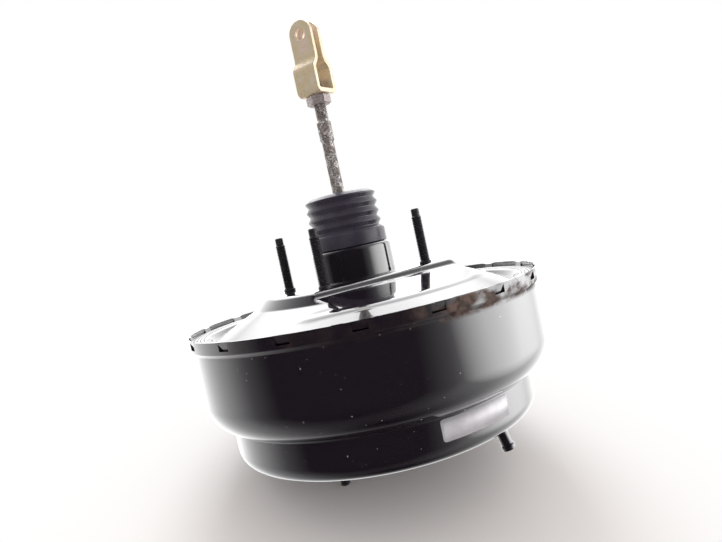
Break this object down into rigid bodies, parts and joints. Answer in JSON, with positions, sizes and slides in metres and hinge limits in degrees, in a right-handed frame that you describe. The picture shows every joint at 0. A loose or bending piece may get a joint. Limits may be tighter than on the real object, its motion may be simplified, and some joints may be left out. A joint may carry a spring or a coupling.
{
  "type": "vacuum brake booster",
  "caption": "Vacuum brake servo: pressed steel drum with stepped waist and lanced rim, rubber boot, firewall studs, push rod with lock nut and clevis, vacuum nipple and output rod.",
  "frame": {"origin": "centre of the firewall plateau, on the drum's axis, in the plane of the plateau", "axes": "+Z along the push rod to the pedal; +X along the long side of the firewall stud rectangle"},
  "size_m": [0.282, 0.282, 0.3668],
  "materials": {
    "black_paint": "gloss",
    "stud_steel": "black phosphate",
    "bare_steel": "satin",
    "spring_steel": "satin",
    "rod_steel": "weathered",
    "yellow_zinc": "yellow passivated zinc",
    "boot_rubber": "satin",
    "seal_rubber": "matte",
    "moulded_plastic": "matte",
    "filter_felt": "felt"
  },
  "bodies": {
    "housing": {"front_shell": "black_paint", "rear_shell": "black_paint", "firewall_studs": "stud_steel", "rear_reinforcement_plate": "bare_steel", "master_cylinder_studs": "stud_steel", "front_reinforcement_plate": "bare_steel", "vacuum_nipple": "black_paint", "seal_retainer": "bare_steel", "body_seal": "seal_rubber", "neck_bearing": "moulded_plastic", "front_seal": "seal_rubber", "boot": "boot_rubber", "diaphragm": "seal_rubber", "return_spring": "spring_steel"},
    "power_piston": {"valve_body": "moulded_plastic", "diaphragm_plate": "bare_steel", "stop_key": "bare_steel", "reaction_disc": "seal_rubber", "output_rod": "bare_steel", "adjusting_screw": "bare_steel", "poppet_valve": "seal_rubber", "poppet_retainer": "bare_steel", "silencer": "filter_felt", "air_filter": "filter_felt", "rod_return_spring": "spring_steel", "poppet_spring": "spring_steel"},
    "plunger": {"valve_plunger": "bare_steel"},
    "pedal_rod": {"push_rod": "rod_steel", "rod_spring_seat": "bare_steel", "lock_nut": "rod_steel", "clevis": "yellow_zinc"}
  },
  "joints": [
    {"name": "power_piston_stroke", "type": "slide", "parent": "housing", "child": "power_piston", "axis": [0, 0, -1], "range_m": [0, 0.03], "stiffness_N_per_m": 1800, "springref_m": -0.05, "deforming": ["return_spring", "boot", "diaphragm"]},
    {"name": "plunger_travel", "type": "slide", "parent": "power_piston", "child": "plunger", "axis": [0, 0, -1], "range_m": [0, 0.0015], "stiffness_N_per_m": 2000, "springref_m": -0.01, "deforming": ["rod_return_spring", "poppet_spring", "poppet_valve"]},
    {"name": "rod_tilt", "type": "hinge", "parent": "plunger", "child": "pedal_rod", "pos_m": [0, 0, -0.001], "axis": [0.9011, 0.4337, 0], "range_deg": [-3, 3], "stiffness_Nm_per_rad": 3}
  ]
}
